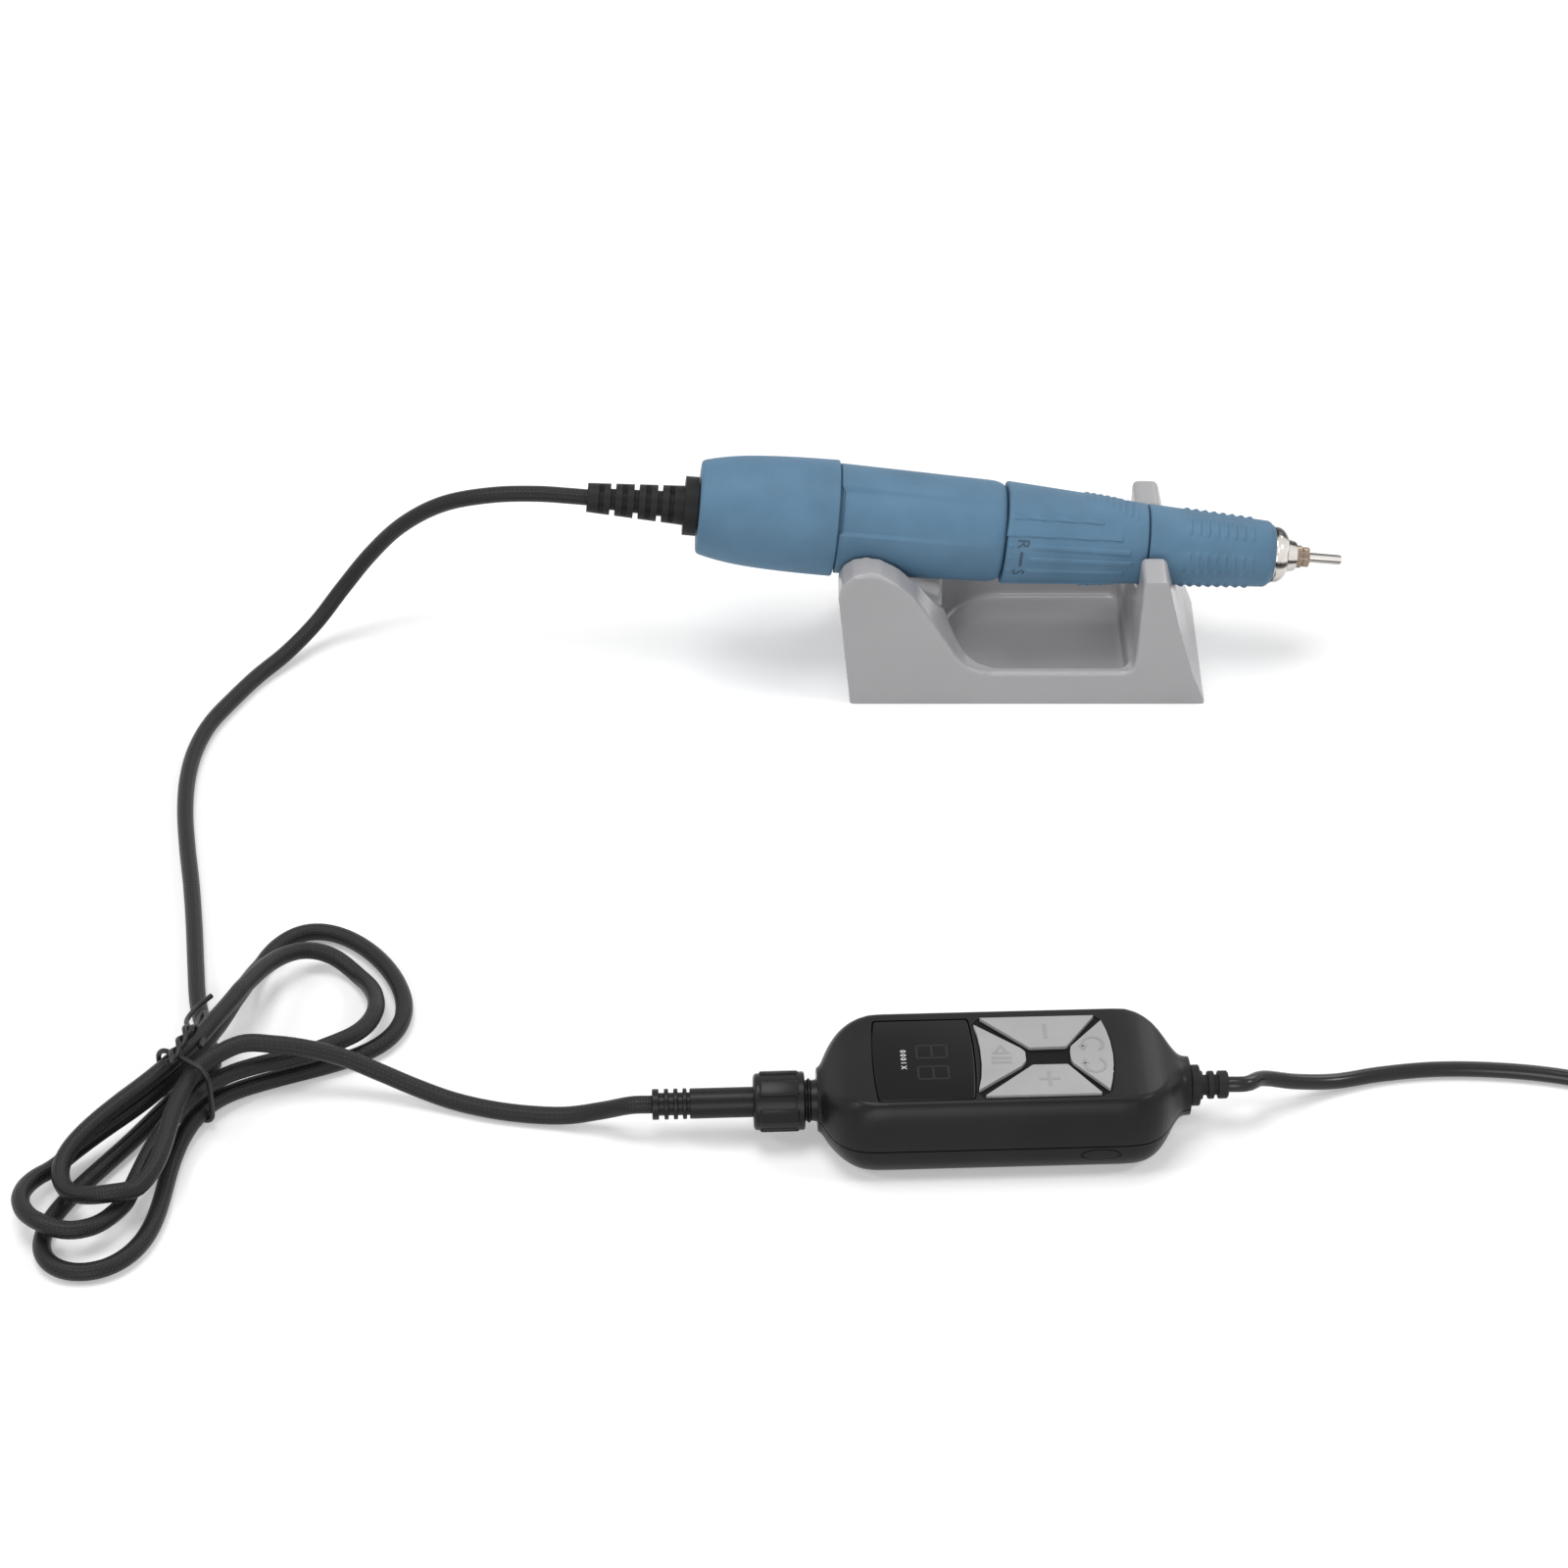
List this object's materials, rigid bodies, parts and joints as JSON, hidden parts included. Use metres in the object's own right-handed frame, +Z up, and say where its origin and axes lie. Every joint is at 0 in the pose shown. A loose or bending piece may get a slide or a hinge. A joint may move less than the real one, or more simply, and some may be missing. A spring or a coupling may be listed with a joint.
{
  "type": "electric nail drill",
  "caption": "Pen-shaped electric nail drill lying in a grey cradle, with a braided cord tied in a hank, an in-line speed controller with keys and a display, and a supply lead ending in a plug.",
  "frame": {"origin": "on the floor under the middle of the bounding box of the handpiece, cradle and controller, without the cords", "axes": "+X from the handpiece's cable end towards its nose, +Y from the controller towards the cradle, +Z up"},
  "size_m": [0.3954, 0.242, 0.0549],
  "materials": {
    "grip_blue": "soft satin",
    "moulded_black": "satin",
    "window_black": "polished",
    "cradle_grey": "satin",
    "key_grey": "satin",
    "chrome": "polished",
    "steel": "turned",
    "bronze": "turned",
    "copper": "wound",
    "magnet": "matt",
    "carbon": "matt",
    "board_green": "satin",
    "silicone": "matt",
    "rubber_black": "satin",
    "braid_black": "braided"
  },
  "bodies": {
    "base": {"cradle": "cradle_grey", "controller_top_shell": "moulded_black", "controller_bottom_shell": "moulded_black", "display_window": "window_black", "display_module": "moulded_black", "key_membrane": "silicone", "circuit_board": "board_green", "case_screw_1": "steel", "case_screw_2": "steel", "socket_barrel": "moulded_black", "socket_insert": "moulded_black", "connector_sleeve": "rubber_black", "connector_insert": "moulded_black", "supply_relief": "rubber_black", "hand_cord_rear": "braid_black", "hand_cord_hank": "braid_black", "hand_cord_front": "braid_black", "cord_tie": "rubber_black", "supply_lead": "rubber_black", "supply_coil": "rubber_black", "supply_tail": "rubber_black", "plug_grip": "moulded_black", "plug_barrel": "steel"},
    "handpiece": {"rear_cap": "grip_blue", "cable_boot": "rubber_black", "motor_housing": "grip_blue", "motor_can": "steel", "magnet_ring": "magnet", "end_bell": "moulded_black", "upper_brush": "carbon", "upper_brush_spring": "steel", "lower_brush": "carbon", "lower_brush_spring": "steel", "rear_bearing_outer": "steel", "front_bearing_outer": "steel", "spindle_rear_bearing_outer": "steel", "spindle_front_bearing_outer": "steel", "inner_barrel": "steel", "chuck_spring": "steel", "front_grip": "grip_blue", "nose_cone": "chrome"},
    "rotor": {"motor_shaft": "steel", "armature_core": "steel", "armature_winding": "copper", "commutator": "copper", "rear_bearing_inner": "steel", "front_bearing_inner": "steel", "drive_coupling": "moulded_black", "spindle": "bronze", "spindle_rear_bearing_inner": "steel", "spindle_front_bearing_inner": "steel"},
    "collet": {"collet": "bronze"},
    "bit": {"test_pin": "steel"},
    "chuck_ring": {"chuck_ring": "grip_blue"},
    "cam_sleeve": {"cam_sleeve": "steel"},
    "minus_key": {"minus_key": "key_grey"},
    "plus_key": {"plus_key": "key_grey"},
    "run_key": {"run_key": "key_grey"},
    "direction_key": {"direction_key": "key_grey"},
    "coupling_nut": {"coupling_nut": "moulded_black"}
  },
  "joints": [
    {"name": "handpiece_lift", "type": "slide", "parent": "base", "child": "handpiece", "axis": [0.1002, 0, 0.995], "range_m": [0, 0.06]},
    {"name": "rotor_spin", "type": "hinge", "parent": "handpiece", "child": "rotor", "pos_m": [-0.03382, 0.08425, 0.03849], "axis": [0.995, 0, -0.1002], "continuous": true},
    {"name": "chuck_ring_turn", "type": "hinge", "parent": "handpiece", "child": "chuck_ring", "pos_m": [0.01195, 0.08425, 0.03388], "axis": [0.995, 0, -0.1002], "range_deg": [0, 40]},
    {"name": "cam_sleeve_slide", "type": "slide", "parent": "handpiece", "child": "cam_sleeve", "axis": [0.995, 0, -0.1002], "range_m": [0, 0.0012]},
    {"name": "collet_slide", "type": "slide", "parent": "rotor", "child": "collet", "axis": [0.995, 0, -0.1002], "range_m": [0, 0.0012]},
    {"name": "bit_pull", "type": "slide", "parent": "collet", "child": "bit", "axis": [0.995, 0, -0.1002], "range_m": [0, 0.034]},
    {"name": "minus_key_press", "type": "slide", "parent": "base", "child": "minus_key", "axis": [0, 0, -1], "range_m": [0, 0.0005], "stiffness_N_per_m": 2500, "springref_m": -0.0001},
    {"name": "plus_key_press", "type": "slide", "parent": "base", "child": "plus_key", "axis": [0, 0, -1], "range_m": [0, 0.0005], "stiffness_N_per_m": 2500, "springref_m": -0.0001},
    {"name": "run_key_press", "type": "slide", "parent": "base", "child": "run_key", "axis": [0, 0, -1], "range_m": [0, 0.0005], "stiffness_N_per_m": 2500, "springref_m": -0.0001},
    {"name": "direction_key_press", "type": "slide", "parent": "base", "child": "direction_key", "axis": [0, 0, -1], "range_m": [0, 0.0005], "stiffness_N_per_m": 2500, "springref_m": -0.0001},
    {"name": "coupling_nut_turn", "type": "hinge", "parent": "base", "child": "coupling_nut", "pos_m": [-0.05847, -0.08959, 0.009], "axis": [-0.9993, -0.0384, 0], "range_deg": [0, 720]}
  ],
  "couplings": [
    {"joint": "chuck_ring_turn", "follows": "cam_sleeve_slide", "rad_per_m": 581.7},
    {"joint": "collet_slide", "follows": "cam_sleeve_slide", "ratio": 1}
  ]
}
